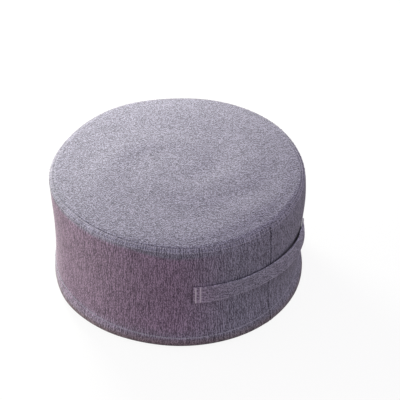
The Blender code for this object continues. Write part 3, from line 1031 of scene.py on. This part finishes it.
def painted_floor_bounce(tree):
    """Where warm bounce light and shade from the floor are painted into the cloth's colour."""
    return remapped(tree, around_and_up(tree)[1], *FLOOR_BOUNCE_HEIGHTS, 1.0, 0.0)


def painted_seam_shade(tree, u):
    """Painted shade in the narrow groove of the closing seam, where the cloth's U begins and ends."""
    away = maths(tree, "PINGPONG", u, math.pi * RADIUS)
    return remapped(tree, away, CLOSING_HALF, CLOSING_REACH * CLOSING_HALF, CLOSING_PAINTED_SHADE, 1.0)


def melange_cloth(name, warp, weft, plum_light=False, painted_light_and_shade=False, level=1.0, blotches=0.30):
    """Woven melange cloth of pale and dark yarns; the warp runs along the cloth's V."""
    material, tree, shader = new_material(name, CLOTH_FINISH)
    u, v, _ = apart(tree, "UVMap", "UV", uv_map="cloth")
    blotch = maths(tree, "SUBTRACT", patches(tree, u, v), 0.5)
    yarn = maths(tree, "MULTIPLY_ADD", blotch, blotches, 0.5)
    for across, along, seed, kind in ((u, v, 0.0, warp), (v, u, WEFT_SEED, weft)):
        *slubs, strength = kind
        yarn = maths(tree, "MULTIPLY_ADD", yarns(tree, across, along, seed, *slubs), strength, yarn)
    weave = weave_height(tree, u, v)
    yarn = maths(tree, "MULTIPLY_ADD", weave, WEAVE_SHADE, yarn)
    yarn = maths(tree, "ADD", yarn, 0.0, clamp=True)
    colour = ramped(tree, yarn, [[level * part for part in shade] for shade in YARN_SHADES])
    # painted plum light on one flank
    if plum_light:
        colour = blended(tree, painted_plum_light_share(tree), colour, PAINTED_PLUM_LIGHT, "MULTIPLY")
    # the side's painted light and shade: floor bounce, seam shade and light on the lit flank
    if painted_light_and_shade:
        # painted warm bounce light and shade by the floor
        colour = blended(tree, painted_floor_bounce(tree), colour, FLOOR_BOUNCE_TINT, "MULTIPLY")
        # painted shade in the closing seam's groove
        shade = painted_seam_shade(tree, u)
        # painted light on the lit flank's hem and rim strip
        for lit_flank in (HEM_PAINTED_LIGHT, RIM_PAINTED_LIGHT):
            shade = maths(tree, "MULTIPLY", shade, painted_flank_light(tree, *lit_flank))
        colour = blended(tree, 1.0, colour, shade, "MULTIPLY")
    height = maths(tree, "MULTIPLY", maths(tree, "ADD", yarn, weave), 0.5)
    bump = node(tree, "Bump", (*WEAVE_BUMP, ("Height", height)))
    feed(shader, (("Base Color", colour), ("Normal", bump.outputs["Normal"])))
    return material


def weave_height(tree, u, v):
    """Over and under of a plain weave at the yarns' own pitch."""
    turns = math.pi / YARN_PITCH
    over = maths(tree, "SINE", maths(tree, "MULTIPLY", u, turns))
    under = maths(tree, "SINE", maths(tree, "MULTIPLY", v, turns))
    return maths(tree, "MULTIPLY", over, under)


def thread_material(name, colour):
    """Thread of one colour, with flecks of shade along it."""
    material, tree, shader = new_material(name, THREAD_FINISH)
    place = node(tree, "TexCoord").outputs["Object"]
    noise = node(tree, "TexNoise", (("Vector", place), ("Scale", THREAD_FLECKS)))
    shades = [[shade * part for part in colour] for shade in THREAD_SHADES]
    feed(shader, [("Base Color", ramped(tree, noise.outputs["Fac"], shades))])
    return material


# Stage

def stage_floor():
    """A pale floor that glows for the camera, and lends the drum's foot a warm dim light."""
    ends = (-FLOOR_REACH, FLOOR_REACH)
    mesh = bpy.data.meshes.new("floor")
    mesh.from_pydata([(x, y, 0.0) for x in ends for y in ends], [], [(0, 2, 3, 1)])
    floor = placed("floor", mesh)
    material, tree, shader = new_material("floor", FLOOR_FINISH)
    seen = node(tree, "LightPath").outputs["Is Camera Ray"]
    feed(shader, (("Emission Strength", maths(tree, "MULTIPLY", seen, FLOOR_GLOW)),
                  ("Base Color", blended(tree, seen, FLOOR_RETURN, FLOOR_SEEN))))
    mesh.materials.append(material)
    floor.visible_glossy = False


def outward(azimuth, elevation):
    """The direction out from the object at an azimuth and an elevation in degrees."""
    a, e = math.radians(azimuth), math.radians(elevation)
    return Vector((math.sin(a) * math.cos(e), -math.cos(a) * math.cos(e), math.sin(e)))


def soft_light(name, azimuth, elevation, distance, width, power, colour):
    """A round area light that faces the object."""
    data = bpy.data.lights.new(name, "AREA")
    data.shape = "DISK"
    data.size = width
    data.energy = power
    data.color = colour
    light = placed(name, data)
    out = outward(azimuth, elevation)
    light.location = Vector(CAMERA_PIVOT) + out * distance
    light.rotation_euler = out.to_track_quat("Z", "Y").to_euler()


def studio_room():
    """Even light from above and a dimmer return from below; the room itself looks white."""
    world = bpy.data.worlds.new("studio")
    world.use_nodes = True
    tree = world.node_tree
    up = apart(tree, "TexCoord", "Generated")[2]
    sky = blended(tree, remapped(tree, up, 0.0, 1.0, kind="LINEAR"), SKY_LOW, SKY_HIGH)
    light = blended(tree, remapped(tree, up, *HORIZON), SKY_BELOW, sky)
    seen = node(tree, "LightPath").outputs["Is Camera Ray"]
    feed(tree.nodes["Background"], [("Color", blended(tree, seen, light, WHITE))])
    bpy.context.scene.world = world


def lights():
    studio_room()
    soft_light("window", *WINDOW)
    soft_light("fill", *FILL)


def camera():
    """The camera, at the photograph's viewing angle."""
    data = bpy.data.cameras.new("camera")
    data.sensor_fit = "HORIZONTAL"
    data.angle = math.radians(CAMERA_FIELD)
    eye = placed("camera", data)
    place = Vector(CAMERA_PIVOT) + outward(CAMERA_AZIMUTH, CAMERA_ELEVATION) * CAMERA_DISTANCE
    level = (place - Vector(CAMERA_AIM)).to_track_quat("Z", "Y").to_matrix().to_4x4()
    eye.matrix_world = Matrix.Translation(place) @ level @ Matrix.Rotation(math.radians(CAMERA_ROLL), 4, "Z")
    bpy.context.scene.camera = eye
    bpy.context.scene.view_settings.view_transform = "Standard"


def dress():
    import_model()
    camera()
    fill_cover()
    side = melange_cloth("side_melange", SIDE_WARP, SIDE_WEFT, plum_light=True, painted_light_and_shade=True)
    top = melange_cloth("top_melange", TOP_WARP, TOP_WEFT, blotches=0.20)
    base = melange_cloth("base_melange", BASE_WARP, BASE_WEFT)
    strap = melange_cloth("strap_melange", STRAP_WARP, STRAP_WEFT, plum_light=True, level=STRAP_LEVEL)
    body = side_piece(side)
    panel = top_piece(top)
    base_panel = base_piece(base)
    loop = strap_piece(strap)
    sewing()
    stage_floor()
    lights()


dress()
